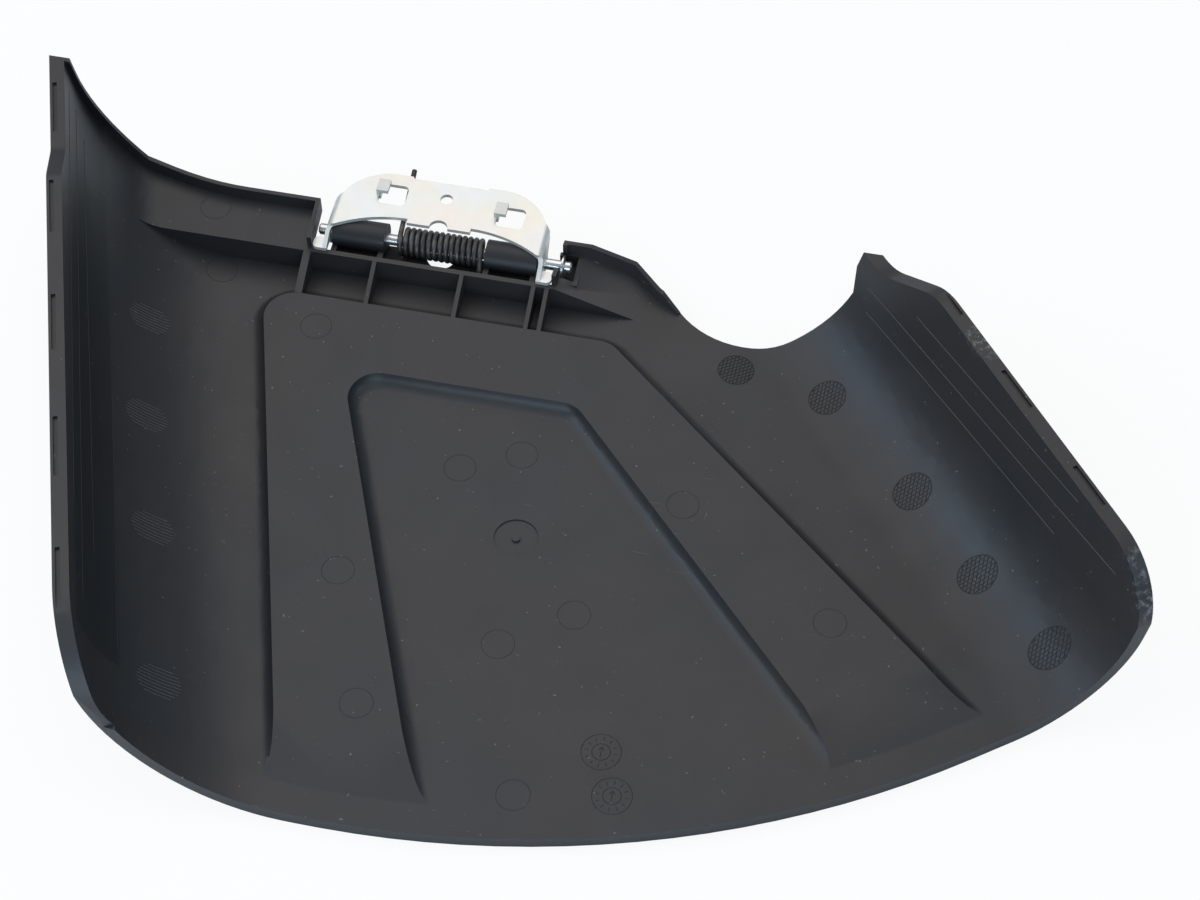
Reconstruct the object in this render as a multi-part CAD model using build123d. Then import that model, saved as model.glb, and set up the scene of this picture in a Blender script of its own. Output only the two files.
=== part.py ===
from build123d import *
from math import cos, radians, sin, tan
import os

# Side-discharge mower deflector: a moulded chute on a sprung steel hinge bracket.
# Millimetres. X runs along the hinge pin, -Y points to the lip, +Z is the inside of the chute.
# Shapes are drawn with the pin's line at y = 0 and the chute floor at z = 0, then moved so that
# the bracket's bolt hole, on its mounting face, is the origin.

# Chute shell
WALL = 3.0
FLANGE_DEPTH = 8.0
FLANGE_THICKNESS = 3.0
WALL_LEAN = 10.0
LEFT_WALL_X = -188.0
LEFT_WALL_SKEW = 18.9
LEFT_BEND = 82.0
RIGHT_WALL_X = 225.0
RIGHT_WALL_SKEW = 38.4
RIGHT_BEND = 58.0
LEFT_HEIGHT = 94.0
LEFT_TAIL_HEIGHT = 86.0
LEFT_STEP = (26.0, 24.0)
LEFT_FRONT = 360.0
LEFT_CORNER = 50.0
RIGHT_HEIGHT = 88.0
RIGHT_TAIL_HEIGHT = 61.0
RIGHT_STEP = (20.0, 42.0)
RIGHT_FRONT = 266.0
RIGHT_CORNER = 40.0

# Outline of the chute in plan
LIP_CENTRE = (24.0, 167.3)
LIP_RADIUS = 517.4
LIP_LEFT_X = 24.0
LIP_LEFT_END = (-150.0, -332.0)
LIP_RIGHT_X = 330.0
LIP_RIGHT_END = (450.0, -163.0)
NOTCH_CENTRE = (177.6, 28.7)
NOTCH_RADIUS = 52.4
NOTCH_LEFT_Y = -7.0
NOTCH_TURN = 28.0
NOTCH_RIGHT_X = 232.0
NOTCH_RIGHT_Y = 5.0
EAR_REAR_Y = 15.0
EAR_RIGHT_REAR_Y = 12.0
EAR_RIGHT_X = 111.0
TAIL_Y = 35.0
TAIL_X = -214.0
TAIL_CURVE_X = -112.0

# Raised platform behind the shelf wall
PLATFORM_HEIGHT = 16.0
SHELF_Y = -17.0
RAMP_TOP_X = 70.0
RAMP_FOOT_X = 115.0
RAMP_SKEW = 26.0
PLATFORM_BLEND = 25.0
RIM_HEIGHT = 8.0
RIM_WALL_HEIGHT = 1.8
RIM_THICKNESS = 2.5
RIM_FALL_X = (105.0, 140.0)
POCKET_SPLAY = 2.0
POCKET_GAP = 0.4

# Gusset ribs between the shelf wall and the raised band
RIB_THICKNESS = 2.4
FIRST_RIB_THICKNESS = 4.2
RIB_X = (-70.0, -31.5, 18.0, 58.5, 66.0)

# Raised U-shaped band
BAND_HEIGHT = 7.0
BAND_REAR_Y = -40.0
BAND_INNER_Y = -85.0
BAND_OUTER_LEFT = (-90.0, 16.7)
BAND_OUTER_RIGHT = (106.0, 49.0)
BAND_INNER_LEFT = (-33.0, 22.0)
BAND_INNER_RIGHT = (96.0, 43.0)
BAND_CORNER = 16.0
BAND_SLOPE = 70.0
BAND_FOOT_ROUND = 8.0
BAND_LIP_GAP = 16.0
BAND_RAMP = 34.0

# Gate: a shallow round recess with a nub left in its middle
GATE = (82.2, -170.8)
GATE_DIAMETER = 23.5
GATE_DEPTH = 0.8
GATE_NUB = 4.5
GATE_NUB_HEIGHT = 1.3

# Recessed slots in the side flanges: length, pitch, first start and count along each wall
SLOT_WIDTH = 2.4
SLOT_DEPTH = 1.5
SLOT_FROM_EDGE = 2.6
LEFT_SLOTS = (36.0, 78.0, -24.0, 5)
RIGHT_SLOTS = (26.0, 66.0, 53.0, 3)

# Hinge: pin, barrels and spring
PIN_DIAMETER = 6.35
PIN_PROUD = 5.6
PIN_CHAMFER = 0.8
PIN_CLEARANCE = 0.05
BARREL_DIAMETER = 17.0
BARREL_INNER_X = 28.5
BARREL_GAP = 1.3
BARREL_RIB = 3.0
TRAY = 3.0
TRAY_GAP = 1.0
TRAY_REAR_Y = 3.0
TRAY_HOLE = (2.0, 0.3)
TRAY_HOLE_RADIUS = 8.0
NUT_RECESS_WIDTH = 17.0
NUT_RECESS_LENGTH = 11.0
NUT_CUP = 2.5
SPRING_WIRE = 3.0
SPRING_DIAMETER = 17.0
SPRING_COILS = 14
SPRING_PITCH = 3.25
SPRING_LEFT_X = -20.2
SPRING_LEG = 46.0
SPRING_FOOT_DROP = 4.0
SPRING_SEAT = 0.1

# Bracket: one pressing, symmetrical but for its two windows
PLATE = 2.3
PLATE_GAP = 0.25
PLATE_REAR_Y = 38.2
PLATE_WAIST = 1.4
WAIST_HALF = 21.0
SHOULDER_X = 30.0
SHOULDER_END = (57.5, 20.0)
PLATE_FRONT_Y = 7.4
TONGUE_HALF = 18.0
TONGUE = 2.8
TONGUE_NOTCH = 5.2
BRACKET_HALF = 61.6
EAR_BEND = 4.2
EAR_REAR_Y_TOP = 14.0
EAR_FRONT_Y_TOP = -4.0
EAR_NOSE = 6.8
EAR_CLEARANCE = 0.12
BOLT_Y = 25.5
BOLT_HOLE = 7.2
WINDOWS = ((-30.0, 23.0), (38.0, 19.2))
WINDOW_LENGTH = 15.6
WINDOW_DEPTH = 14.4
WINDOW_CORNER = 3.0
TAB_WIDTH = 8.5
TAB_RISE = 5.0
TAB_TURN = 5.5
HOOK_REACH = 6.0
HOOK_REAR_Y = -7.5
HOOK_OVERLAP = 1.5
HOOK_GAP = 0.3
HOOK_ROUND = 3.0

# Push nut: a dished disc pressed on the pin's free end
NUT_DIAMETER = 12.0
NUT_THICKNESS = 0.9
NUT_DISH = 0.9
NUT_HUB = 8.6
NUT_GAP = 4.0
NUT_PIN_PROUD = 4.5

AXIS_Z = PLATFORM_HEIGHT
BORE_RADIUS = PIN_DIAMETER / 2 + PIN_CLEARANCE
PLATE_UNDER = AXIS_Z + BARREL_DIAMETER / 2 + PLATE_GAP
PLATE_TOP = PLATE_UNDER + PLATE
POCKET_HALF = BRACKET_HALF + HOOK_REACH + POCKET_GAP
BARREL_OUTER_X = BRACKET_HALF - PLATE - BARREL_GAP
NUT_X = POCKET_HALF + NUT_GAP
PIN_LEFT_X = -BRACKET_HALF - PIN_PROUD
PIN_RIGHT_X = NUT_X + NUT_PIN_PROUD
home = Pos(0, -BOLT_Y, -PLATE_TOP)


def rod(radius, x0, x1):
    """A cylinder on the pin's line, from x0 to x1."""
    return Pos((x0 + x1) / 2, 0, AXIS_Z) * Rot(0, 90, 0) * Cylinder(radius, x1 - x0)


def block(x0, x1, y0, y1, z0, z1):
    """A plain box between two corners."""
    return Pos((x0 + x1) / 2, (y0 + y1) / 2, (z0 + z1) / 2) * Box(x1 - x0, y1 - y0, z1 - z0)


def foot_x(wall_x, skew, y):
    """Where a side wall's foot line crosses a given y."""
    return wall_x - y * tan(radians(skew))


def channel(grow):
    """The space between the walls, grown outwards by the same amount all round."""
    shift = grow * tan(radians((90 - WALL_LEAN) / 2))
    left = shift / cos(radians(LEFT_WALL_SKEW))
    right = shift / cos(radians(RIGHT_WALL_SKEW))
    rear_y = 120
    front_y = -480
    corners = [
        (foot_x(LEFT_WALL_X, LEFT_WALL_SKEW, rear_y) - left, rear_y),
        (foot_x(LEFT_WALL_X, LEFT_WALL_SKEW, front_y) - left, front_y),
        (foot_x(RIGHT_WALL_X, RIGHT_WALL_SKEW, front_y) + right, front_y),
        (foot_x(RIGHT_WALL_X, RIGHT_WALL_SKEW, rear_y) + right, rear_y),
    ]
    floor = Pos(0, 0, -grow) * make_face(Polyline(*corners, close=True))
    space = extrude(floor, amount=LEFT_HEIGHT + 40 + grow, taper=-WALL_LEAN)
    feet = space.edges().filter_by(Plane.XY).group_by(Axis.Z)[0].sort_by(Axis.X)
    space = fillet(feet[0], LEFT_BEND + grow)
    feet = space.edges().filter_by(Plane.XY).group_by(Axis.Z)[0].sort_by(Axis.X)
    return fillet(feet[-1], RIGHT_BEND + grow)


def platform(grow):
    """The raised platform at the hinge side, with its ramp at the right; grow makes it smaller."""
    fall = PLATFORM_HEIGHT / (RAMP_FOOT_X - RAMP_TOP_X)
    drop = grow * (1 + fall * fall) ** 0.5
    low = -40
    profile = [
        (-400, low),
        (-400, PLATFORM_HEIGHT - grow),
        (RAMP_TOP_X - (drop - grow) / fall, PLATFORM_HEIGHT - grow),
        (RAMP_TOP_X + (PLATFORM_HEIGHT - drop - low) / fall, low),
    ]
    side = Plane(origin=(0, SHELF_Y + grow, 0), x_dir=(1, 0, 0), z_dir=(0, -1, 0))
    reach = 160
    lean = (reach * tan(radians(RAMP_SKEW)), reach, 0)
    return extrude(side * make_face(Polyline(*profile, close=True)), amount=Vector(*lean).length, dir=lean)


def leg_point(start, from_y, y):
    """A point on a band edge that leaves its start x at from_y, at the given angle from -Y."""
    x, angle = start
    return (x + (from_y - y) * tan(radians(angle)), y)


def band(grow):
    """The raised U-shaped band, sloped sides, running out in a ramp near the lip."""
    far = -460
    outer = make_face(
        Polyline(
            leg_point(BAND_OUTER_LEFT, BAND_REAR_Y, BAND_REAR_Y),
            leg_point(BAND_OUTER_LEFT, BAND_REAR_Y, far),
            leg_point(BAND_OUTER_RIGHT, BAND_REAR_Y, far),
            leg_point(BAND_OUTER_RIGHT, BAND_REAR_Y, BAND_REAR_Y),
            close=True,
        )
    )
    inner = make_face(
        Polyline(
            leg_point(BAND_INNER_LEFT, BAND_INNER_Y, BAND_INNER_Y),
            leg_point(BAND_INNER_LEFT, BAND_INNER_Y, far - 20),
            leg_point(BAND_INNER_RIGHT, BAND_INNER_Y, far - 20),
            leg_point(BAND_INNER_RIGHT, BAND_INNER_Y, BAND_INNER_Y),
            close=True,
        )
    )
    outer = fillet(outer.vertices().group_by(Axis.Y)[-1], BAND_CORNER)
    inner = fillet(inner.vertices().group_by(Axis.Y)[-1], BAND_CORNER)
    spread = BAND_HEIGHT / tan(radians(BAND_SLOPE))
    inset = grow * tan(radians(BAND_SLOPE / 2))
    foot = offset(outer, spread - inset, kind=Kind.INTERSECTION)
    hole = offset(inner, -(spread - inset), kind=Kind.INTERSECTION)
    top = BAND_HEIGHT - grow
    body = loft([Pos(0, 0, -grow) * foot, Pos(0, 0, top) * offset(outer, -inset, kind=Kind.INTERSECTION)])
    core = loft([Pos(0, 0, -grow) * hole, Pos(0, 0, top) * offset(inner, inset, kind=Kind.INTERSECTION)])
    end = LIP_RADIUS - BAND_LIP_GAP
    ramp = make_face(
        Plane.XZ * Polyline((0, -grow), (end, -grow), (end - BAND_RAMP, top), (0, top), close=True)
    )
    return (body - core) & (Pos(*LIP_CENTRE, 0) * revolve(ramp, Axis.Z))


def lip_point(x, inset):
    """A point on the lip's arc."""
    radius = LIP_RADIUS - inset
    return (x, LIP_CENTRE[1] - (radius ** 2 - (x - LIP_CENTRE[0]) ** 2) ** 0.5)


def lip_edges(inset):
    """The lip: one long arc that eases into the front edge of each side wall."""
    turn_left = lip_point(LIP_LEFT_X, inset)
    turn_right = lip_point(LIP_RIGHT_X, inset)
    middle = lip_point((LIP_LEFT_X + LIP_RIGHT_X) / 2, inset)
    skew = radians(RIGHT_WALL_SKEW)
    left = (LIP_LEFT_END[0], LIP_LEFT_END[1] + inset)
    right = (LIP_RIGHT_END[0] - inset * sin(skew), LIP_RIGHT_END[1] + inset * cos(skew))
    main = ThreePointArc(turn_left, middle, turn_right)
    left_end = TangentArc(turn_left, left, tangent=-(main % 0))
    right_end = TangentArc(turn_right, right, tangent=main % 1)
    return [main, left_end, right_end], left, right


def notch_edges(inset):
    """The half-round notch, which runs on straight up the right-hand wall."""
    radius = NOTCH_RADIUS + inset
    turn = radians(NOTCH_TURN)
    rise = NOTCH_LEFT_Y - NOTCH_CENTRE[1]
    left = (NOTCH_CENTRE[0] - (radius ** 2 - rise ** 2) ** 0.5, NOTCH_LEFT_Y)
    middle = (NOTCH_CENTRE[0], NOTCH_CENTRE[1] - radius)
    end = (NOTCH_CENTRE[0] + radius * sin(turn), NOTCH_CENTRE[1] - radius * cos(turn))
    right = (NOTCH_RIGHT_X, end[1] + (NOTCH_RIGHT_X - end[0]) * tan(turn))
    return [Line(right, end), ThreePointArc(end, middle, left)], left, right


def skin_plan():
    """The whole chute's outline, with the hinge pocket cut in its rear edge."""
    lip, left, end = lip_edges(0)
    notch, notch_left, notch_right = notch_edges(0)
    splay = POCKET_HALF + POCKET_SPLAY
    pocket_y = SHELF_Y + WALL
    before = Polyline(end, (end[0], NOTCH_RIGHT_Y), (NOTCH_RIGHT_X, NOTCH_RIGHT_Y), notch_right)
    rear_y = EAR_RIGHT_REAR_Y
    ear = [notch_left, (EAR_RIGHT_X, rear_y), (splay, rear_y)]
    pocket = [(POCKET_HALF, pocket_y), (-POCKET_HALF, pocket_y), (-splay, EAR_REAR_Y)]
    rear = Polyline(*ear, *pocket, (TAIL_CURVE_X, EAR_REAR_Y))
    curve = tail_curve()
    after = Polyline((TAIL_X, TAIL_Y), (left[0] - 160, TAIL_Y), (left[0] - 160, left[1]), left)
    return make_face(lip + notch + [before, rear, curve, after])


def tail_curve():
    """The rear edge's sweep from the left ear back to the left wall's tail."""
    return Spline(
        (TAIL_CURVE_X, EAR_REAR_Y),
        (TAIL_X, TAIL_Y),
        tangents=[(-1, 0), (-1, 0.1)],
    )


def core_plan():
    """The outline less the flange's thickness; it runs past the rear edge, which has no flange."""
    lip, left, end = lip_edges(FLANGE_THICKNESS)
    notch, notch_left, notch_right = notch_edges(FLANGE_THICKNESS)
    far_y = TAIL_Y + 60
    rear_y = NOTCH_RIGHT_Y - FLANGE_THICKNESS
    before = Polyline(end, (end[0], rear_y), (NOTCH_RIGHT_X, rear_y), notch_right)
    ear_x = EAR_RIGHT_X + 8
    far_x = left[0] - 200
    corner = [(ear_x, EAR_REAR_Y), (ear_x, far_y), (far_x, far_y), (far_x, left[1])]
    after = Polyline(notch_left, *corner, left)
    return make_face(lip + notch + [before, after])


def wall_plane(wall_x, skew):
    """A plane standing on a wall's foot line: local x runs to the lip, local y is up."""
    direction = Vector(sin(radians(skew)), -cos(radians(skew)), 0)
    return Plane(origin=(wall_x, 0, 0), x_dir=direction, z_dir=direction.cross(Vector(0, 0, 1)))


def wall_trim(wall_x, skew, tail, height, step, front, corner, inset):
    """What lies above a wall's top edge: a low tail, a step up, a level run, a rounded front corner."""
    start, rise = step
    low = height - corner
    sky = height + 80
    edge = Polyline(
        (-160, tail - inset),
        (start, tail - inset),
        (start + rise, height - inset),
        (front - inset, height - inset),
        (front - inset, low),
        (front + 160, low),
        (front + 160, sky),
        (-160, sky),
        close=True,
    )
    face = make_face(edge)
    bends = [v for v in face.vertices() if start - 1 < v.X < start + rise + 1]
    face = fillet(bends, rise * 0.8)
    nose = [v for v in face.vertices() if abs(v.X - front + inset) < 0.01 and v.Y > low + 1]
    face = fillet(nose, corner - inset - 0.5)
    return extrude(wall_plane(wall_x, skew) * face, amount=88, both=True)


def trims(inset):
    """Both walls' trims, lowered by the inset."""
    left = wall_trim(
        LEFT_WALL_X, LEFT_WALL_SKEW, LEFT_TAIL_HEIGHT, LEFT_HEIGHT,
        LEFT_STEP, LEFT_FRONT, LEFT_CORNER, inset
    )
    right = wall_trim(
        RIGHT_WALL_X, RIGHT_WALL_SKEW, RIGHT_TAIL_HEIGHT, RIGHT_HEIGHT,
        RIGHT_STEP, RIGHT_FRONT, RIGHT_CORNER, inset
    )
    return left, right


def slab(face, low, high):
    """A plan outline made solid between two heights."""
    return extrude(Pos(0, 0, low) * face, amount=high - low)


def slots(wall_x, skew, tail, height, step, run, side):
    """The row of shallow slots in one side flange, lower along the wall's tail."""
    length, pitch, first, count = run
    tool = []
    for i in range(count):
        start = first + i * pitch
        top = tail if start + length < step[0] else height
        across = side * (top * tan(radians(WALL_LEAN)) + FLANGE_DEPTH - SLOT_FROM_EDGE)
        box = Box(length, SLOT_DEPTH * 2, SLOT_WIDTH)
        tool.append(wall_plane(wall_x, skew) * (Pos(start + length / 2, top, across) * box))
    return tool


# The chute's skin: a floor, two bends and two leaning walls, with a step, a band and an all-round flange
inner = channel(0) - band(0)
level = [e for e in inner.edges().filter_by(Plane.XY) if abs(e.center().Z) < 0.01]
straight = [e for e in level if e.geom_type != GeomType.BSPLINE]
feet = [e for e in straight if -400 < e.center().Y < BAND_REAR_Y + WALL * 2]
inner = fillet(feet, BAND_FOOT_ROUND) - platform(0)
level = [e for e in inner.edges() if abs(e.bounding_box().max.Z - PLATFORM_HEIGHT) < 0.01]
creases = [e for e in level if abs(e.bounding_box().min.Z - PLATFORM_HEIGHT) < 0.01]
inner = fillet(min(creases, key=lambda e: e.center().X), PLATFORM_BLEND)
outer = channel(WALL) - platform(WALL) - band(WALL)
edge_block = channel(FLANGE_DEPTH) & slab(skin_plan(), -30, 200)
for trim in trims(0):
    edge_block -= trim
core = channel(FLANGE_DEPTH + 2) & slab(core_plan(), -40, 220)
for trim in trims(FLANGE_THICKNESS):
    core -= trim
chute = edge_block - inner - (core - outer)

# A low rim stands along the rear edge and round the hinge pocket's sides
splay_x = POCKET_HALF + POCKET_SPLAY
pocket_y = SHELF_Y + WALL
left_rear = [
    Line((TAIL_X - 60, TAIL_Y), (TAIL_X, TAIL_Y)),
    tail_curve(),
    Polyline((TAIL_CURVE_X, EAR_REAR_Y), (-splay_x, EAR_REAR_Y), (-POCKET_HALF, pocket_y)),
]
right_rear = Polyline(
    (POCKET_HALF, pocket_y),
    (splay_x, EAR_RIGHT_REAR_Y),
    (EAR_RIGHT_X, EAR_RIGHT_REAR_Y),
    notch_edges(0)[1],
)
rim_plan = trace(Curve() + left_rear, RIM_THICKNESS * 2) + trace(right_rear, RIM_THICKNESS * 2)
rim_plan = rim_plan & skin_plan()
rim = slab(rim_plan, -20, 200) & inner
rim -= Pos(RIM_WALL_HEIGHT, 0, RIM_HEIGHT) * (channel(0) - platform(0))
for trim in trims(0):
    rim -= trim
rim_top = PLATFORM_HEIGHT + RIM_HEIGHT
fall = Plane(origin=(RIM_FALL_X[0], 0, rim_top), z_dir=(rim_top, 0, RIM_FALL_X[1] - RIM_FALL_X[0]))
chute += split(rim, bisect_by=fall, keep=Keep.BOTTOM)

# Gusset ribs brace the shelf wall against the floor
shelf_side = Plane(origin=(0, 0, 0), x_dir=(0, 1, 0), z_dir=(1, 0, 0))
for number, x in enumerate(RIB_X):
    thickness = RIB_THICKNESS if number else FIRST_RIB_THICKNESS
    gusset = make_face(
        Polyline(
            (SHELF_Y + WALL / 2, -WALL / 2),
            (SHELF_Y + WALL / 2, PLATFORM_HEIGHT),
            (SHELF_Y, PLATFORM_HEIGHT),
            (BAND_REAR_Y, BAND_HEIGHT),
            (BAND_REAR_Y, BAND_HEIGHT - WALL / 2),
            (BAND_REAR_Y + BAND_HEIGHT / tan(radians(BAND_SLOPE)), -WALL / 2),
            close=True,
        )
    )
    chute += Pos(x, 0, 0) * extrude(shelf_side * gusset, amount=thickness / 2, both=True)

# Two barrels carry the pin. They stand on a tray under the spring, which has a half-round drain notch
wall_back = SHELF_Y + WALL / 2
tray_top = AXIS_Z - SPRING_DIAMETER / 2 - TRAY_GAP
tray = block(-BARREL_OUTER_X, BARREL_OUTER_X, wall_back, TRAY_REAR_Y, tray_top - TRAY, tray_top)
tray -= Pos(*TRAY_HOLE, tray_top) * Cylinder(TRAY_HOLE_RADIUS, TRAY * 4)
chute += tray
for side in (-1, 1):
    x0, x1 = sorted((side * BARREL_INNER_X, side * BARREL_OUTER_X))
    chute += rod(BARREL_DIAMETER / 2, x0, x1)
    for x in (x0, x1 - BARREL_RIB):
        chute += block(x, x + BARREL_RIB, wall_back, TRAY_REAR_Y, tray_top - TRAY, AXIS_Z - BORE_RADIUS / 2)
chute -= rod(BORE_RADIUS, PIN_LEFT_X - 1, NUT_X)

# The right ear is opened for the push nut and the pin's free end, over a shallow cup
recess_end = POCKET_HALF + NUT_RECESS_LENGTH
recess_half = NUT_RECESS_WIDTH / 2
recess_low = AXIS_Z - recess_half
cup_half = recess_half + NUT_CUP
cup_end = recess_end + NUT_CUP
chute += block(POCKET_HALF, cup_end, -cup_half, cup_half, recess_low - NUT_CUP, AXIS_Z - WALL / 2)
chute -= block(POCKET_HALF - 2, recess_end, -recess_half, recess_half, recess_low, 60)

# The gate's recess and nub
chute -= Pos(*GATE, 0) * Cylinder(GATE_DIAMETER / 2, GATE_DEPTH * 2)
nub = Cylinder(GATE_NUB / 2, GATE_NUB_HEIGHT, align=(Align.CENTER, Align.CENTER, Align.MIN))
chute += Pos(*GATE, -GATE_DEPTH) * nub

# Shallow slots along both side flanges
left_slots = slots(LEFT_WALL_X, LEFT_WALL_SKEW, LEFT_TAIL_HEIGHT, LEFT_HEIGHT, LEFT_STEP, LEFT_SLOTS, 1)
right_slots = slots(
    RIGHT_WALL_X, RIGHT_WALL_SKEW, RIGHT_TAIL_HEIGHT, RIGHT_HEIGHT, RIGHT_STEP, RIGHT_SLOTS, -1
)
for tool in left_slots + right_slots:
    chute -= tool

# Hinge pin
pin = rod(PIN_DIAMETER / 2, PIN_LEFT_X, PIN_RIGHT_X)
pin = chamfer(pin.edges().filter_by(GeomType.CIRCLE), PIN_CHAMFER)


# Torsion spring: close coils, one leg under the plate and one against the shelf wall's back
coil_radius = (SPRING_DIAMETER - SPRING_WIRE) / 2
seat_y = SPRING_WIRE / 2 + SPRING_SEAT + pocket_y
seat = Vector(-seat_y, -SPRING_FOOT_DROP)
seat_angle = 90 - seat.get_signed_angle(Vector(1, 0))
leg_length = (seat.length ** 2 - coil_radius ** 2) ** 0.5
turns = SPRING_COILS + (seat_angle - Vector(coil_radius, leg_length).get_angle(Vector(1, 0))) / 360
coil = Helix(SPRING_PITCH, turns * SPRING_PITCH, coil_radius, direction=(1, 0, 0))
coil = Pos(SPRING_LEFT_X, 0, AXIS_Z) * coil
plate_leg = Line(coil @ 0 - (coil % 0) * SPRING_LEG, coil @ 0)
shelf_leg = Line(coil @ 1, coil @ 1 + (coil % 1) * leg_length)
wire = Wire([plate_leg, *coil.edges(), shelf_leg])
section = Plane(origin=plate_leg @ 0, z_dir=plate_leg % 0) * Circle(SPRING_WIRE / 2)
spring = sweep(section, path=wire)

# Push nut
nut_profile = make_face(
    Polyline(
        (NUT_X, PIN_DIAMETER / 2),
        (NUT_X - NUT_DISH, NUT_HUB / 2),
        (NUT_X - NUT_DISH, NUT_DIAMETER / 2),
        (NUT_X - NUT_DISH + NUT_THICKNESS, NUT_DIAMETER / 2),
        (NUT_X - NUT_DISH + NUT_THICKNESS, NUT_HUB / 2),
        (NUT_X + NUT_THICKNESS, PIN_DIAMETER / 2),
        close=True,
    )
)
nut = Pos(0, 0, AXIS_Z) * revolve(Plane.XZ * nut_profile, Axis.X)

# Bracket: a strip bent into a shallow staple, then cropped to its plan and to its side view
def staple(half, top, bend):
    """The staple's cross-section across the hinge, corners rounded."""
    face = make_face(Polyline((-half, 0), (-half, top), (half, top), (half, 0), close=True))
    return fillet(face.vertices().group_by(Axis.Y)[-1], bend)


strip = staple(BRACKET_HALF, PLATE_TOP, EAR_BEND)
strip -= staple(BRACKET_HALF - PLATE, PLATE_UNDER, EAR_BEND - PLATE)
bracket = extrude(Plane.XZ * strip, amount=100, both=True)

waist_y = PLATE_REAR_Y - PLATE_WAIST
hook_low = PLATFORM_HEIGHT + HOOK_GAP
hook_front = pocket_y - HOOK_OVERLAP
cheek_x = BRACKET_HALF - EAR_BEND
turn = (SHOULDER_X, PLATE_REAR_Y)
shoulder = TangentArc(turn, SHOULDER_END, tangent=(1, 0))
brow = TangentArc((TONGUE_HALF, PLATE_FRONT_Y), (cheek_x, EAR_FRONT_Y_TOP), tangent=(1, 0))
half_plan = make_face(
    [
        Polyline((0, waist_y), (WAIST_HALF, waist_y), (WAIST_HALF + 1, PLATE_REAR_Y), turn),
        shoulder,
        Polyline(
            SHOULDER_END,
            (BRACKET_HALF + 1, EAR_REAR_Y_TOP),
            (BRACKET_HALF + 1, hook_front),
            (cheek_x, hook_front),
            (cheek_x, EAR_FRONT_Y_TOP),
        ),
        brow,
        Polyline(
            (TONGUE_HALF, PLATE_FRONT_Y),
            (TONGUE_HALF, PLATE_FRONT_Y - TONGUE),
            (0, PLATE_FRONT_Y - TONGUE),
            (0, waist_y),
        ),
    ]
)
half_plan -= Pos(0, PLATE_FRONT_Y - TONGUE) * Circle(TONGUE_NOTCH)
plan = half_plan + mirror(half_plan, about=Plane.YZ)
cheek = make_face(
    Polyline(
        (EAR_REAR_Y_TOP, PLATE_UNDER),
        (EAR_NOSE, AXIS_Z),
        (EAR_NOSE, AXIS_Z - EAR_NOSE),
        (-EAR_NOSE, AXIS_Z - EAR_NOSE),
        (-EAR_NOSE, hook_low),
        (hook_front, hook_low),
        (hook_front, hook_low + PLATE),
        (EAR_FRONT_Y_TOP, PLATE_UNDER),
        close=True,
    )
)
nose = [v for v in cheek.vertices() if v.Y < AXIS_Z - EAR_NOSE + 0.1]
cheek = fillet(nose, EAR_NOSE * 0.95)
side_view = cheek + make_face(
    Polyline(
        (EAR_FRONT_Y_TOP, PLATE_UNDER),
        (EAR_FRONT_Y_TOP, PLATE_TOP),
        (PLATE_REAR_Y, PLATE_TOP),
        (PLATE_REAR_Y, PLATE_UNDER),
        close=True,
    )
)
bracket = bracket & slab(plan, 0, PLATE_TOP) & extrude(shelf_side * side_view, amount=100, both=True)

# Each ear ends in a hook that turns out over the shelf wall, and is bored for the pin
for side in (-1, 1):
    x0, x1 = sorted((side * (BRACKET_HALF - PLATE), side * (BRACKET_HALF + HOOK_REACH)))
    hook = make_face(
        Polyline((x0, hook_front), (x1, hook_front), (x1, HOOK_REAR_Y), (x0, HOOK_REAR_Y), close=True)
    )
    hook = fillet(hook.vertices().sort_by(Axis.X)[::side][-2:], HOOK_ROUND)
    bracket += slab(hook, hook_low, hook_low + PLATE)
bracket -= rod(PIN_DIAMETER / 2 + EAR_CLEARANCE, -BRACKET_HALF - 10, BRACKET_HALF + 10)
bracket -= Pos(0, BOLT_Y, PLATE_TOP) * Cylinder(BOLT_HOLE / 2, PLATE * 4)

# Two windows, each with a lanced tab standing at its left edge and turned over at the top
for x, y in WINDOWS:
    opening_face = RectangleRounded(WINDOW_LENGTH, WINDOW_DEPTH, WINDOW_CORNER)
    bracket -= slab(Pos(x, y) * opening_face, PLATE_UNDER - 1, PLATE_TOP + 1)
    left_x = x - WINDOW_LENGTH / 2
    rear_y = y + WINDOW_DEPTH / 2 - 1
    tab_y = rear_y - TAB_WIDTH
    tab_top = PLATE_TOP + TAB_RISE
    bracket += block(left_x - PLATE / 2, left_x + PLATE / 2, tab_y, rear_y, PLATE_UNDER, tab_top)
    bracket += block(left_x - PLATE / 2, left_x + TAB_TURN, tab_y, rear_y, tab_top - PLATE, tab_top)

os.makedirs("parts", exist_ok=True)
pieces = {
    "deflector_chute": chute,
    "hinge_bracket": bracket,
    "hinge_pin": pin,
    "torsion_spring": spring,
    "push_nut": nut,
}
for name, piece in pieces.items():
    solid = home * piece
    print(name, len(solid.solids()), round(solid.volume), solid.bounding_box())
    export_step(solid, f"parts/{name}.step")
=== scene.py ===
# %% [markdown]
# A mower's discharge deflector, seen from the side the grass hits. Every piece is built on the
# measured parts, so the first step is to bring those in and note the box they fill.

# %% bring in the measured parts
from math import cos, pi, radians, sin
import bmesh
import bpy
from mathutils import Matrix, Vector


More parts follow.
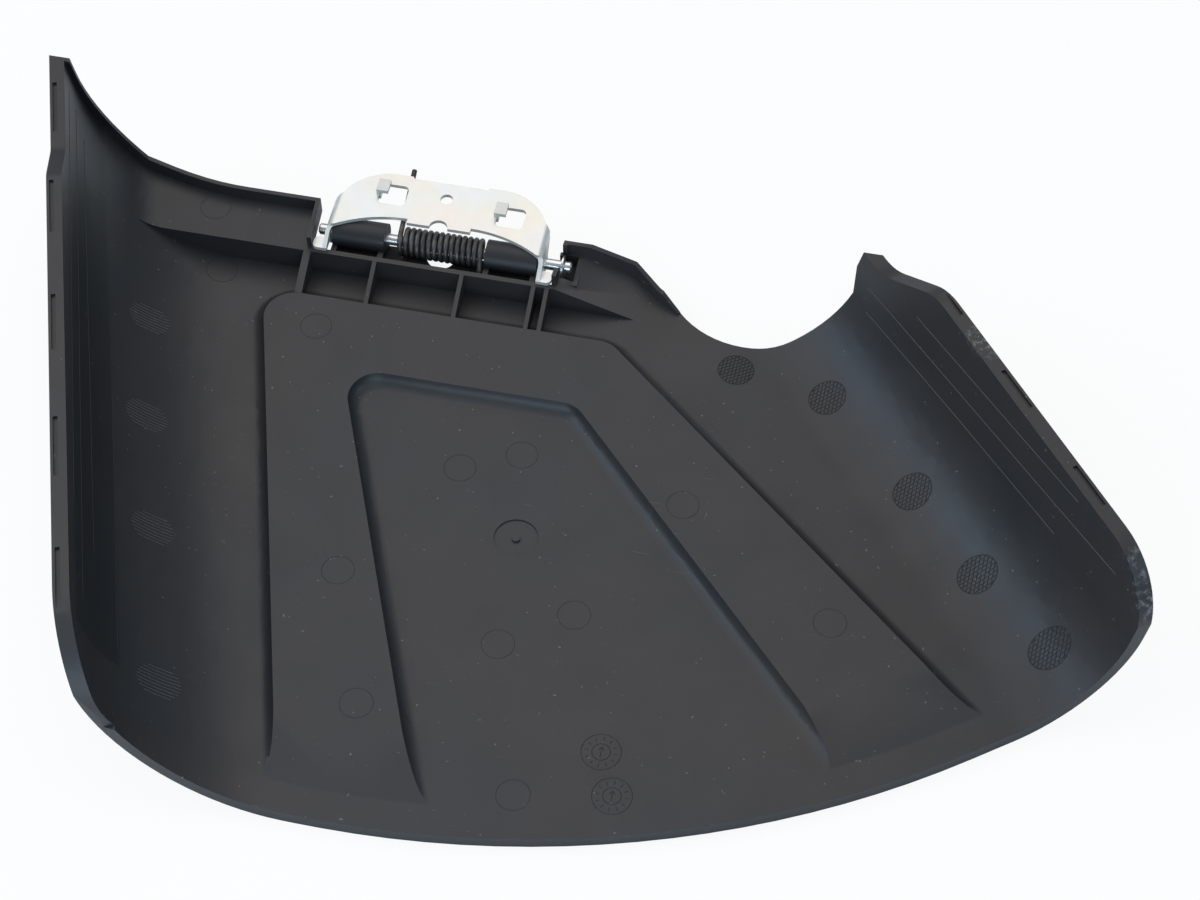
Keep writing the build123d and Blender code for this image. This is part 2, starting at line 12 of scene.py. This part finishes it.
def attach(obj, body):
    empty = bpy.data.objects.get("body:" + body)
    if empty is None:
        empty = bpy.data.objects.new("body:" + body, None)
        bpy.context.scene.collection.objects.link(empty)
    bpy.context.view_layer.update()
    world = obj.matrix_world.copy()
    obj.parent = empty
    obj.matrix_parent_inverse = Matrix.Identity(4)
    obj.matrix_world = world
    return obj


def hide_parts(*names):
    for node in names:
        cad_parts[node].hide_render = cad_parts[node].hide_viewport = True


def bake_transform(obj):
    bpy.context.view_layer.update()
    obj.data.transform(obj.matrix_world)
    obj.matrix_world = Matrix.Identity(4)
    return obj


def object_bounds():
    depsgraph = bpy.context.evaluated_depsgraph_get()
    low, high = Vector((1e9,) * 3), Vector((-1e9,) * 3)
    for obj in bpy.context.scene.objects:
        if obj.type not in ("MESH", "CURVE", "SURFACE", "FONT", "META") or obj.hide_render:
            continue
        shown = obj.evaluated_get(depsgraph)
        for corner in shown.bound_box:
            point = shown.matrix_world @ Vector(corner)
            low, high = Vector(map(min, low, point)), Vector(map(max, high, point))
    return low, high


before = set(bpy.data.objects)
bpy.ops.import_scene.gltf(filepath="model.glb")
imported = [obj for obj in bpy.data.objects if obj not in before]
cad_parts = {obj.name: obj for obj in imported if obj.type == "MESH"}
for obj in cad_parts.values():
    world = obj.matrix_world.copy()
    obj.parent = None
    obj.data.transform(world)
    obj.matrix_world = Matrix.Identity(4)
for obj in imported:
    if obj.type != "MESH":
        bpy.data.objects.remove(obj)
cad_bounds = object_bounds()
scene = bpy.context.scene
MM = 0.001
print("measured parts:", sorted(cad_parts))

# %% [markdown]
# Materials and geometry trees are both made of nodes joined by wires. This class holds one end of
# a wire. Adding or multiplying two wires lays a Math node, so a recipe reads like a sum. Every
# other node goes through one method: its kind, then its settings, then what goes into it.

# %% a wire between nodes


class Wire:
    def __init__(self, tree, socket=None, node=None):
        self.tree = tree
        self.socket = socket
        self.node = node

    def add(self, kind, settings=None, sockets=None):
        node = self.tree.nodes.new(kind)
        for name, value in (settings or {}).items():
            setattr(node, name, value)
        for name, value in (sockets or {}).items():
            live = [s for s in node.inputs if s.enabled]
            socket = live[name] if isinstance(name, int) else next(s for s in live if s.name == name)
            for one in value if isinstance(value, list) else [value]:
                if isinstance(one, Wire):
                    self.tree.links.new(one.socket, socket)
                else:
                    socket.default_value = one
        ends = [s for s in node.outputs if s.enabled]
        return Wire(self.tree, ends[0] if ends else None, node)

    def out(self, name):
        return Wire(self.tree, self.node.outputs[name], self.node)

    def math(self, how, a, b):
        return self.add("ShaderNodeMath", {"operation": how}, {0: a, 1: b})

    def __add__(self, other):
        return self.math("ADD", self, other)

    __radd__ = __add__

    def __mul__(self, other):
        return self.math("MULTIPLY", self, other)

    __rmul__ = __mul__

    def __sub__(self, other):
        return self.math("SUBTRACT", self, other)

    def __rsub__(self, other):
        return self.math("SUBTRACT", other, self)

    def __truediv__(self, other):
        return self.math("DIVIDE", self, other)

    def __rtruediv__(self, other):
        return self.math("DIVIDE", other, self)

    def __pow__(self, other):
        return self.math("POWER", self, other)


print("wires ready")

# %% [markdown]
# A material starts as one Principled shader. Fixed values are typed straight into its sockets, and
# only what changes over the surface gets nodes. Noise read from Object coordinates stays where it
# is when the part moves, because every piece keeps its origin at the frame's origin.

# %% helpers for finishes


def finish(name, **fixed):
    material = bpy.data.materials.new(name)
    material.use_nodes = True
    shader = material.node_tree.nodes["Principled BSDF"]
    for key, value in fixed.items():
        shader.inputs[key.replace("_", " ")].default_value = value
    place = Wire(material.node_tree).add("ShaderNodeTexCoord").out("Object")
    return material, shader, place


def noise(place, scale, detail=2.0, roughness=0.5, stretch=None):
    if stretch:
        turn, factors = stretch
        sockets = {"Vector": place, "Rotation": turn, "Scale": factors}
        place = place.add("ShaderNodeMapping", {}, sockets)
    sockets = {"Vector": place, "Scale": scale, "Detail": detail, "Roughness": roughness}
    return place.add("ShaderNodeTexNoise", {}, sockets)


def between(wire, low, high):
    sockets = {"Value": wire, "From Min": low, "From Max": high}
    return wire.add("ShaderNodeMapRange", {"clamp": True}, sockets)


def tint(factor, first, second):
    sockets = {"Factor": factor, "A": first, "B": second}
    return factor.add("ShaderNodeMix", {"data_type": "RGBA"}, sockets)


def feed(wire, shader, name):
    wire.tree.links.new(wire.socket, shader.inputs[name])


print("finish helpers ready")

# %% [markdown]
# The chute is moulded in black plastic that has lain about in a workshop. Slow noise warms and
# cools the black by a little, finer noise changes its gloss, and a grain too small to see singly
# softens the highlights. Long thin noise makes hairline scratches, and a high threshold on fine
# noise leaves specks of dust. The rim of the right wall is scuffed pale in a few places, each given
# by its centre and its reach in millimetres, and the distance to each opens up a coarser noise. A
# flat panel on the left wall is painted darker, as painted shade. It is found by its height and by
# how far it lies along the wall and away from the middle. The hinge barrels are made darker: inside
# the hinge pocket everything within 10 mm of the pin's line. The same recipe makes a deeper black,
# painted shade, for marks that lie in shade, and a lighter grey, painted highlight, for marks that
# catch the light.

# %% black plastic
COOL_BLACK, WARM_BLACK = (0.019, 0.020, 0.022), (0.027, 0.022, 0.021)
# Painted shade for the left wall's panel, and a darker tone for the hinge barrels.
PANEL_SHADE_BLACK, BARREL_DARK_BLACK = (0.006, 0.008, 0.010, 1), (0.004, 0.005, 0.006, 1)
RUBBED_GREY = (0.20, 0.20, 0.20, 1)
SCUFFS = (
    ((300, -86, 63), 9), ((306, -92, 63), 11), ((392, -203, 58), 9),
    ((399, -212, 49), 11), ((402, -219, 41), 10),
)
LEFT_WALL_OUT, LEFT_WALL_ALONG = (-0.946, -0.324, 0), (0.324, -0.946, 0)
PIN_LINE = Vector((0, -25.5, -11.05)) * MM


def measure(how, place, other):
    return place.add("ShaderNodeVectorMath", {"operation": how}, {0: place, 1: other}).out("Value")


def axis(place, letter):
    return place.add("ShaderNodeSeparateXYZ", {}, {0: place}).out(letter)


# Painted shade: a darker tone over the flat panel of the left wall.
def left_panel_shade(place):
    out = measure("DOT_PRODUCT", place, LEFT_WALL_OUT)
    along = measure("DOT_PRODUCT", place, LEFT_WALL_ALONG)
    height = axis(place, "Z")
    sides = between(height, 11.5 * MM, 12.5 * MM) * between(height, 58 * MM, 57 * MM)
    return sides * between(out, 140 * MM, 145 * MM) * between(along, 289 * MM, 287 * MM)


# A darker tone for everything within 10 mm of the pin's line inside the hinge pocket.
def barrel_darkening(place):
    across = place.add("ShaderNodeVectorMath", {"operation": "MULTIPLY"}, {0: place, 1: (0, 1, 1)})
    away = measure("DISTANCE", across, PIN_LINE)
    x = axis(place, "X")
    ends = between(x, -71 * MM, -70 * MM) * between(x, 71 * MM, 70 * MM)
    return between(away, 10.5 * MM, 9.5 * MM) * ends


def black_plastic(name, depth):
    material, shader, place = finish(name, IOR=1.48)
    cloud = between(noise(place, 9.0, 3.0), 0.35, 0.7)
    cool, warm = [(*(part * depth for part in black), 1) for black in (COOL_BLACK, WARM_BLACK)]
    # The left wall's panel takes painted shade here.
    tone = tint(left_panel_shade(place) * 0.6, tint(cloud, cool, warm), PANEL_SHADE_BLACK)
    # The hinge barrels are made darker here.
    tone = tint(barrel_darkening(place) * 0.8, tone, BARREL_DARK_BLACK)
    long_and_thin = ((0, 0, radians(28)), (1.0, 24.0, 6.0))
    scratch = between(noise(place, 60.0, 2.0, 0.6, long_and_thin), 0.70, 0.76)
    patch = between(noise(place, 14.0, 2.0), 0.5, 0.65)
    speck = between(noise(place, 420.0, 1.0), 0.765, 0.80)
    mark = scratch * patch * 0.35 + speck * 0.5
    rubbed = between(noise(place, 330.0, 5.0, 0.7), 0.50, 0.68)
    for centre, reach in SCUFFS:
        away = measure("DISTANCE", place, Vector(centre) * MM)
        mark = mark + rubbed * between(away, reach * MM, reach * 0.3 * MM) * 0.8
    feed(tint(between(mark, 0.0, 1.0), tone, RUBBED_GREY), shader, "Base Color")
    feed(noise(place, 35.0, 4.0) * 0.14 + 0.40, shader, "Roughness")
    grain = noise(place, 900.0, 2.0)
    sockets = {"Strength": 0.10, "Distance": 0.4 * MM, "Height": grain}
    feed(place.add("ShaderNodeBump", {}, sockets), shader, "Normal")
    return material


chute_plastic = black_plastic("chute black plastic", 1.0)
mark_plastic = black_plastic("shaded mark plastic", 0.45)
# A lighter copy of the plastic: painted highlight on marks that catch the light.
highlight_mark_plastic = black_plastic("painted highlight mark plastic", 3.2)
print("made", chute_plastic.name, mark_plastic.name, highlight_mark_plastic.name)

# %% [markdown]
# The bracket and the pin are zinc plated. New zinc is pale and a little cloudy, with thin yellow
# and pink films from the passivation bath. Where the two tabs rise out of the plate their risers are
# painted a duller grey as painted shade, picked out by their height above the plate. The spring is
# plain wire, oiled and dark.

# %% metals
# Painted shade for the risers of the bracket's tabs.
TAB_SHADE_ZINC = (0.36, 0.39, 0.39, 1)


def zinc(name, plain, yellow, pink, roughness, metallic):
    material, shader, place = finish(name, Metallic=metallic)
    film = between(noise(place, 32.0, 3.0), 0.38, 0.66)
    blush = between(noise(place, 19.0, 2.0), 0.45, 0.7)
    colour = tint(blush * 0.6, tint(film, plain, yellow), pink)
    # Painted shade: points 0.4 to 1.2 mm above the plate turn a duller grey.
    tabs = between(axis(place, "Z"), 0.4 * MM, 1.2 * MM)
    feed(tint(tabs * 0.45, colour, TAB_SHADE_ZINC), shader, "Base Color")
    feed(noise(place, 140.0, 4.0) * 0.16 + roughness, shader, "Roughness")
    return material


plate_zinc = zinc(
    "zinc plate", (0.72, 0.74, 0.72, 1), (0.76, 0.73, 0.62, 1), (0.77, 0.70, 0.68, 1),
    roughness=0.30, metallic=0.6,
)
pin_zinc = zinc(
    "bright zinc", (0.66, 0.67, 0.66, 1), (0.60, 0.60, 0.56, 1), (0.68, 0.68, 0.67, 1),
    roughness=0.16, metallic=0.9,
)


def oiled_wire():
    material, shader, place = finish("oiled spring wire", Metallic=0.75)
    worn = between(noise(place, 160.0, 3.0), 0.45, 0.75)
    feed(tint(worn, (0.060, 0.054, 0.050, 1), (0.150, 0.140, 0.130, 1)), shader, "Base Color")
    feed(noise(place, 300.0, 3.0) * 0.2 + 0.33, shader, "Roughness")
    return material


spring_steel = oiled_wire()
print("made", plate_zinc.name, pin_zinc.name, spring_steel.name)

# %% [markdown]
# The moulded and pressed pieces are the measured parts with their edges eased. A copy of the mesh
# has its doubles merged and its flat triangles joined into whole faces. A narrow bevel then rounds
# each edge enough to catch the light, and weighted normals keep the flats flat. The pin and the nut
# are too small for a bevel to show, so they go without.

# %% eased copies of the measured parts


def eased(node, name, ease, material, body):
    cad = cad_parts[node].data
    mesh = bpy.data.meshes.new(name)
    mesh.from_pydata([v.co for v in cad.vertices], [], [p.vertices[:] for p in cad.polygons])
    work = bmesh.new()
    work.from_mesh(mesh)
    bmesh.ops.remove_doubles(work, verts=work.verts, dist=0.002 * MM)
    bmesh.ops.dissolve_limit(work, angle_limit=radians(0.6), verts=work.verts, edges=work.edges)
    for face in work.faces:
        face.smooth = True
    for edge in work.edges:
        edge.smooth = edge.calc_face_angle(0.0) < radians(32)
    work.to_mesh(mesh)
    work.free()
    mesh.materials.append(material)
    piece = bpy.data.objects.new(name, mesh)
    scene.collection.objects.link(piece)
    if ease:
        bevel = piece.modifiers.new("eased edges", "BEVEL")
        bevel.width = ease * MM
        bevel.segments = 2
        bevel.limit_method = "ANGLE"
        bevel.angle_limit = radians(40)
    normals = piece.modifiers.new("flat flats", "WEIGHTED_NORMAL")
    normals.keep_sharp = True
    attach(piece, body)
    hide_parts(node)
    print(name, len(mesh.polygons), "faces")
    return piece


chute = eased("deflector_chute", "moulded_chute", 0.35, chute_plastic, "chute")
eased("hinge_bracket", "pressed_bracket", 0.4, plate_zinc, "bracket")
eased("hinge_pin", "turned_pin", 0.0, pin_zinc, "chute")
eased("push_nut", "sprung_push_nut", 0.0, pin_zinc, "chute")

# %% [markdown]
# What repeats over the chute is drawn with Geometry Nodes. A tree is built by the script with
# named inputs, tried on a throwaway object, and its result kept as a plain mesh. The inputs are
# set by their identifiers before the tree is first evaluated.

# %% bake a tree into a mesh


def new_tree(name, inputs):
    tree = bpy.data.node_groups.new(name, "GeometryNodeTree")
    for label, kind in inputs.items():
        tree.interface.new_socket(label, in_out="INPUT", socket_type="NodeSocket" + kind)
    tree.interface.new_socket("Mesh", in_out="OUTPUT", socket_type="NodeSocketGeometry")
    given = tree.nodes.new("NodeGroupInput")
    return Wire(tree), {label: Wire(tree, given.outputs[label], given) for label in inputs}


def close_tree(start, mesh, material):
    whole = start.add("GeometryNodeRealizeInstances", {}, {"Geometry": mesh})
    painted = start.add("GeometryNodeSetMaterial", {}, {"Geometry": whole, "Material": material})
    end = start.tree.nodes.new("NodeGroupOutput")
    start.tree.links.new(painted.socket, end.inputs["Mesh"])
    return start.tree


def bake(name, tree, points, edges, **values):
    mesh = bpy.data.meshes.new(name + "_places")
    mesh.from_pydata(points, edges, [])
    holder = bpy.data.objects.new(name + "_places", mesh)
    scene.collection.objects.link(holder)
    nodes = holder.modifiers.new("nodes", "NODES")
    nodes.node_group = tree
    for item in tree.interface.items_tree:
        label = item.name.replace(" ", "_")
        if item.in_out == "INPUT" and label in values:
            nodes[item.identifier] = values[label]
    holder.update_tag()
    ready = holder.evaluated_get(bpy.context.evaluated_depsgraph_get())
    baked = bpy.data.meshes.new_from_object(ready)
    bpy.data.objects.remove(holder)
    piece = bpy.data.objects.new(name, baked)
    scene.collection.objects.link(piece)
    print(name, len(baked.polygons), "faces")
    return piece


print("tree helpers ready")

# %% [markdown]
# The mould left marks on the chute: rings from the ejector pins, cross-hatched grip pads and two
# dials. Each is a drawing of thin lines. The tree sets one drawing on each place and lays its lines
# on the plastic: every point steps back a little, is thrown straight down and stays where it lands.
# A small round profile is then swept along the lines.

# %% the tree that lays marks on the plastic


def circle(start, diameter, corners=48):
    sockets = {"Resolution": corners, "Radius": diameter * 0.5}
    return start.add("GeometryNodeCurvePrimitiveCircle", {}, sockets)


def sweep(start, path, profile, material):
    sockets = {"Curve": path, "Profile Curve": profile, "Fill Caps": True}
    return close_tree(start, start.add("GeometryNodeCurveToMesh", {}, sockets), material)


def lay(start, given, lines, spacing, way, step_back):
    sockets = {"Curve": lines, "Length": spacing}
    lines = start.add("GeometryNodeResampleCurve", {"mode": "LENGTH"}, sockets)
    plastic = start.add("GeometryNodeObjectInfo", {}, {"Object": given["Plastic"]}).out("Geometry")
    here = start.add("GeometryNodeInputPosition")
    back = start.add("ShaderNodeVectorMath", {"operation": "SCALE"}, {0: way, "Scale": -step_back})
    away = start.add("ShaderNodeVectorMath", {"operation": "ADD"}, {0: here, 1: back})
    sockets = {"Target Geometry": plastic, "Source Position": away, "Ray Direction": way}
    landed = start.add("GeometryNodeRaycast", {}, sockets | {"Ray Length": 1.0}).out("Hit Position")
    lines = start.add("GeometryNodeSetPosition", {}, {"Geometry": lines, "Position": landed})
    return sweep(start, lines, circle(start, given["Line"] * 2.0, 6), given["Material"])


def mark_tree(name, drawing):
    inputs = {"Places": "Geometry", "Plastic": "Object", "Diameter": "Float"}
    start, given = new_tree(name, inputs | {"Line": "Float", "Material": "Material"})
    sockets = {"Points": given["Places"], "Instance": drawing(start, given["Diameter"])}
    placed = start.add("GeometryNodeInstanceOnPoints", {}, sockets)
    lines = start.add("GeometryNodeRealizeInstances", {}, {"Geometry": placed})
    return lay(start, given, lines, 0.8 * MM, (0, 0, -1), 0.2)


print("mark tree ready")

# %% [markdown]
# Ejector rings are the plainest marks, one circle each. The places are plan points on the chute in
# millimetres; the height comes from the plastic.

# %% ejector rings
RING_PLACES = (
    (-117.6, -53.6), (-128.5, -21.9), (-54.0, -86.3), (43.5, -158.6), (73.9, -143.9), (-1.9, -238.1),
    (164.3, -163.4), (121.4, -236.5), (87.1, -261.0), (26.8, -312.4), (250.3, -219.8), (113.2, -343.5),
)


def on_plan(places):
    return [(x * MM, y * MM, 0.0) for x, y in places]


def moulded(piece):
    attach(piece, "chute")


moulded(bake(
    "ejector_rings", mark_tree("ring marks", circle), on_plan(RING_PLACES), [],
    Plastic=chute, Diameter=17 * MM, Line=0.14 * MM, Material=mark_plastic,
))

# %% [markdown]
# On the slopes the ejector pins have rough faces that grip, and each leaves a pad of bars. The bars
# are a row of points, each carrying a line as long as the circle is wide there: twice the root of
# the radius squared less the offset squared. The pads on the right have a rim and two families of
# bars that cross in diamonds, drawn in the darker plastic that paints shade. The ones on the left are
# painted pale as a painted highlight and show only one family.

# %% grip pads
PAD_BARS = 9


def stroke(start, tail, tip):
    return start.add("GeometryNodeCurvePrimitiveLine", {}, {"Start": tail, "End": tip})


def hatch(*turns):
    def draw(start, diameter):
        gap = diameter / (PAD_BARS + 1)
        first = start.add("ShaderNodeCombineXYZ", {}, {"Y": gap * (-(PAD_BARS - 1) / 2)})
        step = start.add("ShaderNodeCombineXYZ", {}, {"Y": gap})
        sockets = {"Count": PAD_BARS, "Start Location": first, "Offset": step}
        row = start.add("GeometryNodeMeshLine", {}, sockets)
        offset = axis(start.add("GeometryNodeInputPosition"), "Y")
        radius = diameter * 0.5
        chord = (radius * radius - offset * offset) ** 0.5 * 2.0
        bar = stroke(start, (-0.5, 0, 0), (0.5, 0, 0))
        size = start.add("ShaderNodeCombineXYZ", {}, {"X": chord, "Y": 1.0, "Z": 1.0})
        sockets = {"Points": row, "Instance": bar, "Scale": size}
        bars = start.add("GeometryNodeInstanceOnPoints", {}, sockets)
        drawn = [circle(start, diameter)] if len(turns) > 1 else []
        for turn in turns:
            sockets = {"Geometry": bars, "Rotation": (0, 0, radians(turn))}
            drawn.append(start.add("GeometryNodeTransform", {}, sockets))
        return start.add("GeometryNodeJoinGeometry", {}, {"Geometry": drawn})

    return draw


RIGHT_PADS = ((175.9, -65.4), (227.5, -76.8), (280.4, -131.2), (319.8, -176.8), (360.1, -216.7))
LEFT_PADS = ((-140.8, -107.3), (-122.1, -172.4), (-98.3, -239.9), (-68.6, -327.1))
moulded(bake(
    "right_grip_pads", mark_tree("crossed pads", hatch(32, 88)), on_plan(RIGHT_PADS), [],
    Plastic=chute, Diameter=19.5 * MM, Line=0.27 * MM, Material=mark_plastic,
))
moulded(bake(
    "left_grip_pads", mark_tree("barred pads", hatch(10)), on_plan(LEFT_PADS), [],
    Plastic=chute, Diameter=19.5 * MM, Line=0.22 * MM, Material=highlight_mark_plastic,
))

# %% [markdown]
# The two dials have an outer and an inner ring, a run of ticks between them and a plain arrow in
# the middle. The drawing is made one unit wide and then scaled to the diameter asked for.

# %% dials
DIAL_PLACES = ((150.6, -311.6), (160.6, -334.5))
DIAL_RINGS = (1.0, 0.46)
TICKS = 12
ARROW_TIP = (0, 0.14, 0)
ARROW_TAILS = ((0, -0.14, 0), (-0.07, 0.05, 0), (0.07, 0.05, 0))


def dial(start, diameter):
    angle = start.add("GeometryNodeInputIndex") * (2 * pi / TICKS)
    turn = start.add("ShaderNodeCombineXYZ", {}, {"Z": angle})
    spots = start.add("GeometryNodeMeshLine", {}, {"Count": TICKS, "Offset": (0, 0, 0)})
    tick = stroke(start, (0.32, 0, 0), (0.42, 0, 0))
    sockets = {"Points": spots, "Instance": tick, "Rotation": turn}
    ticks = start.add("GeometryNodeInstanceOnPoints", {}, sockets)
    circles = [circle(start, width) for width in DIAL_RINGS]
    arrow = [stroke(start, tail, ARROW_TIP) for tail in ARROW_TAILS]
    unit = start.add("GeometryNodeJoinGeometry", {}, {"Geometry": [*circles, ticks, *arrow]})
    size = start.add("ShaderNodeCombineXYZ", {}, {"X": diameter, "Y": diameter, "Z": 1.0})
    return start.add("GeometryNodeTransform", {}, {"Geometry": unit, "Scale": size})


moulded(bake(
    "moulding_dials", mark_tree("dial marks", dial), on_plan(DIAL_PLACES), [],
    Plastic=chute, Diameter=20 * MM, Line=0.20 * MM, Material=mark_plastic,
))

# %% [markdown]
# Fine raised lines run along both side walls where the mould's inserts met. Each is given by its two
# ends and laid like the marks, only thrown sideways at the wall and not straight down. The
# right-hand lines are painted pale as a painted highlight, the left-hand ones darker as painted shade.

# %% lines along the side walls


def wall_tree():
    inputs = {"Places": "Geometry", "Plastic": "Object", "Toward": "Vector"}
    start, given = new_tree("wall lines", inputs | {"Line": "Float", "Material": "Material"})
    lines = start.add("GeometryNodeMeshToCurve", {}, {"Mesh": given["Places"]})
    return lay(start, given, lines, 5 * MM, given["Toward"], 0.02)


lines_tree = wall_tree()


def wall_lines(name, toward, material, runs):
    points = [(x * MM, y * MM, z * MM) for run in runs for x, y, z in run]
    edges = [(2 * i, 2 * i + 1) for i in range(len(runs))]
    moulded(bake(
        name, lines_tree, points, edges,
        Plastic=chute, Toward=toward, Line=0.22 * MM, Material=material,
    ))


wall_lines("left_wall_lines", (-1.0, 0.0, 0.0), mark_plastic, (
    ((-209.0, -7.0, 51.6), (-119.5, -271.6, 57.5)),
    ((-205.6, -10.9, 40.5), (-101.0, -320.0, 47.3)),
    ((-198.8, -22.8, 30.3), (-109.8, -283.4, 31.0)),
    ((-138.6, -172.2, 11.6), (-84.7, -333.0, 13.4)),
))
wall_lines("right_wall_lines", (1.0, 0.0, 0.0), highlight_mark_plastic, (
    ((240.7, -38.8, 6.9), (353.0, -172.9, 22.7)),
    ((241.7, -33.7, 18.9), (383.4, -205.3, 43.6)),
    ((268.3, -61.7, 37.8), (360.5, -173.5, 53.9)),
))

# %% [markdown]
# The torsion spring is a helix about the pin with a straight leg at each end. The spiral starts at
# the top of the coil and winds towards the lip. One leg goes back under the bracket's plate, and
# the other drops against the back of the pocket wall.

# %% torsion spring
WIRE_THICKNESS = 3.0 * MM
COIL_RADIUS = 7.0 * MM
PITCH = 3.25 * MM
TURNS = 14.14
COIL_LEFT = PIN_LINE + Vector((-20.2 * MM, 0, 0))
PLATE_LEG, SHELF_LEG = 46.0 * MM, 11.0 * MM
LIE_ALONG_PIN = Matrix(((0, 0, 1), (0, -1, 0), (1, 0, 0))).to_euler()


def coil_end(turns):
    angle = 2 * pi * turns
    along = PITCH / (2 * pi)
    point = COIL_LEFT + Vector((PITCH * turns, -COIL_RADIUS * sin(angle), COIL_RADIUS * cos(angle)))
    return point, Vector((along, -COIL_RADIUS * cos(angle), -COIL_RADIUS * sin(angle))).normalized()


def spring_tree():
    inputs = {"Legs": "Geometry", "Turns": "Float", "Radius": "Float", "Pitch": "Float", "Wire": "Float"}
    start, given = new_tree("torsion spring", inputs | {"Material": "Material"})
    sockets = {"Resolution": 36, "Rotations": given["Turns"], "Height": given["Turns"] * given["Pitch"]}
    sockets |= {"Start Radius": given["Radius"], "End Radius": given["Radius"], "Reverse": True}
    coil = start.add("GeometryNodeCurveSpiral", {}, sockets)
    sockets = {"Geometry": coil, "Translation": COIL_LEFT, "Rotation": LIE_ALONG_PIN}
    coil = start.add("GeometryNodeTransform", {}, sockets)
    coil = start.add("GeometryNodeCurveToMesh", {}, {"Curve": coil})
    whole = start.add("GeometryNodeJoinGeometry", {}, {"Geometry": [coil, given["Legs"]]})
    whole = start.add("GeometryNodeMergeByDistance", {}, {"Geometry": whole, "Distance": 0.02 * MM})
    whole = start.add("GeometryNodeMeshToCurve", {}, {"Mesh": whole})
    return sweep(start, whole, circle(start, given["Wire"], 16), given["Material"])


first, first_way = coil_end(0)
last, last_way = coil_end(TURNS)
legs = [first - first_way * PLATE_LEG, first, last, last + last_way * SHELF_LEG]
spring = bake(
    "wound_spring", spring_tree(), legs, [(0, 1), (2, 3)],
    Turns=TURNS, Radius=COIL_RADIUS, Pitch=PITCH, Wire=WIRE_THICKNESS, Material=spring_steel,
)
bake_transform(spring)
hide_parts("torsion_spring")

# %% [markdown]
# Last come the floor, the light and the camera. The floor is pale and keeps a soft shadow. The
# world looks white to the camera but gives little light, and that a cool one, so the walls stay
# darker and bluer than the floor of the chute.

# %% floor and backdrop
low = cad_bounds[0][2] - 0.2 * MM
corners = [(x, y, low) for x, y in ((-4, -4), (4, -4), (4, 4), (-4, 4))]
floor_mesh = bpy.data.meshes.new("floor")
floor_mesh.from_pydata(corners, [], [(0, 1, 2, 3)])
floor = bpy.data.objects.new("floor", floor_mesh)
scene.collection.objects.link(floor)
paper = bpy.data.materials.new("white paper")
paper.use_nodes = True
sheet = paper.node_tree.nodes["Principled BSDF"]
sheet.inputs["Base Color"].default_value = (0.86, 0.86, 0.86, 1)
sheet.inputs["Roughness"].default_value = 0.9
start = Wire(paper.node_tree)
glow = start.add("ShaderNodeEmission", {}, {"Color": (1, 1, 1, 1), "Strength": 1.0})
seen = start.add("ShaderNodeLightPath").out("Is Camera Ray")
plain = Wire(paper.node_tree, sheet.outputs[0])
mixed = start.add("ShaderNodeMixShader", {}, {0: seen * 0.9, 1: plain, 2: glow})
feed(mixed, paper.node_tree.nodes["Material Output"], "Surface")
floor_mesh.materials.append(paper)

world = bpy.data.worlds.new("studio")
scene.world = world
world.use_nodes = True
seen = Wire(world.node_tree).add("ShaderNodeLightPath").out("Is Camera Ray")
backdrop = world.node_tree.nodes["Background"]
backdrop.inputs["Strength"].default_value = 1.0
feed(tint(seen, (0.24, 0.29, 0.34, 1), (1, 1, 1, 1)), backdrop, "Color")
print("floor and backdrop ready")

# %% [markdown]
# Five softboxes light the part, all aimed at the middle of the chute. A wide warm one overhead
# lights the flats. Cool ones on the left and right draw the highlights along the bends across from
# them. A small one in front opens up the shadows, and a low one picks out the lip. The camera
# stands where the picture was taken from.

# %% light and camera
MIDDLE = Vector((0.08, -0.17, 0))


def softbox(name, place, size, power, colour=(1, 1, 1)):
    lamp = bpy.data.lights.new(name, "AREA")
    lamp.shape = "RECTANGLE"
    lamp.size, lamp.size_y = size
    lamp.energy = power
    lamp.color = colour
    holder = bpy.data.objects.new(name, lamp)
    holder.location = place
    holder.rotation_euler = (MIDDLE - Vector(place)).to_track_quat("-Z", "Y").to_euler()
    scene.collection.objects.link(holder)


softbox("overhead", (-0.4, 0.8, 2.0), (2.6, 2.2), 26, (1.0, 0.91, 0.86))
softbox("left", (-1.5, -0.35, 1.25), (1.2, 1.2), 15, (0.62, 0.82, 1.0))
softbox("right", (1.7, -0.2, 1.1), (1.0, 1.0), 6, (0.55, 0.80, 1.0))
softbox("front", (0.5, -1.2, 1.9), (0.7, 0.7), 5)
softbox("low front", (0.1, -1.8, 0.35), (2.4, 0.7), 19, (0.66, 0.83, 1.0))

camera_data = bpy.data.cameras.new("camera")
camera_data.lens = 80
camera_data.sensor_width = 36
camera = bpy.data.objects.new("camera", camera_data)
camera.location = (0.2770, -0.9412, 1.12955)
camera.rotation_euler = (radians(35.5), 0, radians(11.4))
scene.collection.objects.link(camera)
scene.camera = camera
scene.view_settings.view_transform = "Standard"
print("lights:", len(bpy.data.lights), "camera:", camera.name)
